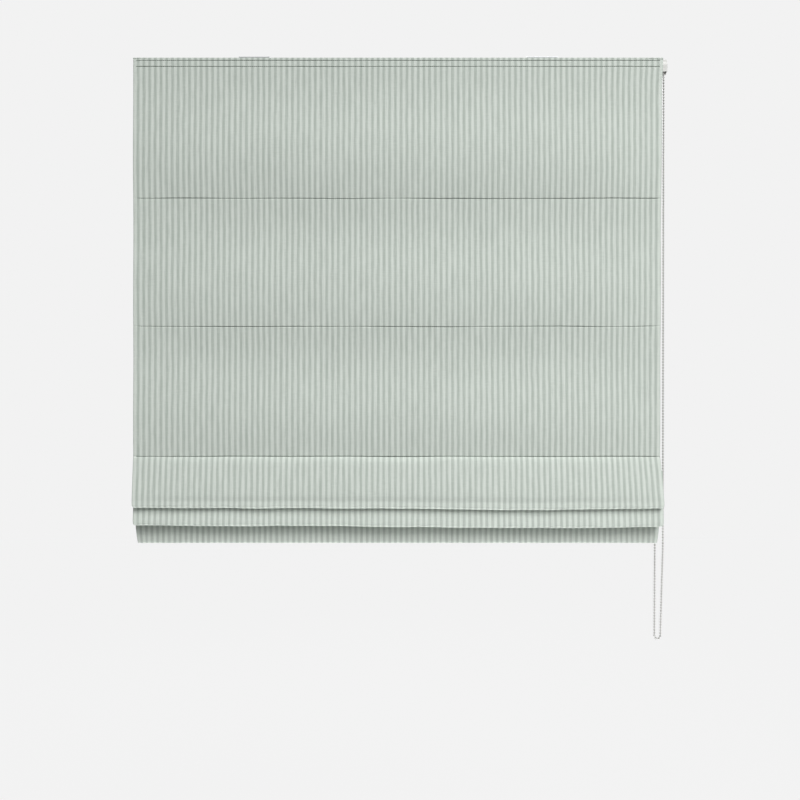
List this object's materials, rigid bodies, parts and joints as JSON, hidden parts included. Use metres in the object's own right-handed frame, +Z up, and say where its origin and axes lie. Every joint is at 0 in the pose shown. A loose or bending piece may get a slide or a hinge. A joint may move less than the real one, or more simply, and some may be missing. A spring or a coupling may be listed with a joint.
{
  "type": "roman blind",
  "caption": "Chain-operated roman blind of striped cloth, hung from a slim headrail, with its lowest folds gathered above the hem.",
  "frame": {"origin": "middle of the line between the two fixing holes, on the fixing plane at the top of the brackets", "axes": "+X along the headrail to the right seen from the room, +Z up, the cloth's face looks along -Y"},
  "size_m": [1.1108, 0.0701, 1.2164],
  "materials": {
    "face_cloth": "woven cotton with fine vertical ticking stripes",
    "lining": "plain woven lining",
    "rail": "white powder coat on extruded aluminium",
    "tape": "hook and loop tape",
    "white_plastic": "moulded, fine grain",
    "grey_plastic": "moulded",
    "steel": "zinc plated",
    "chain": "moulded beads on cord",
    "cord": "braided polyester",
    "rod": "glass-fibre rod",
    "bar": "mill finish"
  },
  "bodies": {
    "headrail": {"headrail": "rail", "hook_tape": "tape", "loop_tape": "tape", "idle_end_cap": "white_plastic", "control_housing": "white_plastic", "control_cover": "white_plastic", "clutch_spring": "steel", "bead_chain": "chain", "cradle_left": "grey_plastic", "cradle_middle": "grey_plastic", "cradle_right": "grey_plastic", "lift_cord_left": "cord", "lift_cord_middle": "cord", "lift_cord_right": "cord", "cord_grommets": "white_plastic", "bracket_left": "steel", "bracket_right": "steel", "bracket_rivets": "steel", "face_cloth": "face_cloth", "lining": "lining"},
    "drive": {"drive_shaft": "steel", "chain_wheel": "white_plastic", "spool_left": "white_plastic", "spool_middle": "white_plastic", "spool_right": "white_plastic", "cord_windings": "cord"},
    "rod_one": {"rod_1": "rod", "rod_caps_1": "white_plastic", "rings_1": "white_plastic"},
    "rod_two": {"rod_2": "rod", "rod_caps_2": "white_plastic", "rings_2": "white_plastic"},
    "stack": {"rod_3": "rod", "rod_4": "rod", "rod_5": "rod", "rod_caps_3": "white_plastic", "rings_3": "white_plastic", "rod_caps_4": "white_plastic", "rings_4": "white_plastic", "rod_caps_5": "white_plastic", "rings_5": "white_plastic", "hem_bar": "bar", "hem_bar_caps": "white_plastic", "cord_toggles": "white_plastic"},
    "left_lever": {"lever_left": "steel"},
    "right_lever": {"lever_right": "steel"}
  },
  "joints": [
    {"name": "lift", "type": "slide", "parent": "headrail", "child": "stack", "axis": [0, 0, 1], "range_m": [0, 0.738], "deforming": ["face_cloth", "lining", "lift_cord_left", "lift_cord_middle", "lift_cord_right"]},
    {"name": "rod_one_rise", "type": "slide", "parent": "headrail", "child": "rod_one", "axis": [0, 0, 1], "range_m": [0, 0.25]},
    {"name": "rod_two_rise", "type": "slide", "parent": "headrail", "child": "rod_two", "axis": [0, 0, 1], "range_m": [0, 0.493]},
    {"name": "drive_turn", "type": "hinge", "parent": "headrail", "child": "drive", "pos_m": [0, 0, -0.0171], "axis": [1, 0, 0], "range_deg": [0, 5890], "deforming": ["bead_chain"]},
    {"name": "left_lever_swing", "type": "hinge", "parent": "headrail", "child": "left_lever", "pos_m": [-0.282, 0, -0.005], "axis": [0, 0, 1], "range_deg": [0, 90]},
    {"name": "right_lever_swing", "type": "hinge", "parent": "headrail", "child": "right_lever", "pos_m": [0.318, 0, -0.005], "axis": [0, 0, 1], "range_deg": [0, 90]}
  ],
  "couplings": [
    {"joint": "rod_one_rise", "follows": "lift", "ratio": 0.33786},
    {"joint": "rod_two_rise", "follows": "lift", "ratio": 0.66646},
    {"joint": "drive_turn", "follows": "lift", "rad_per_m": 138.89}
  ]
}
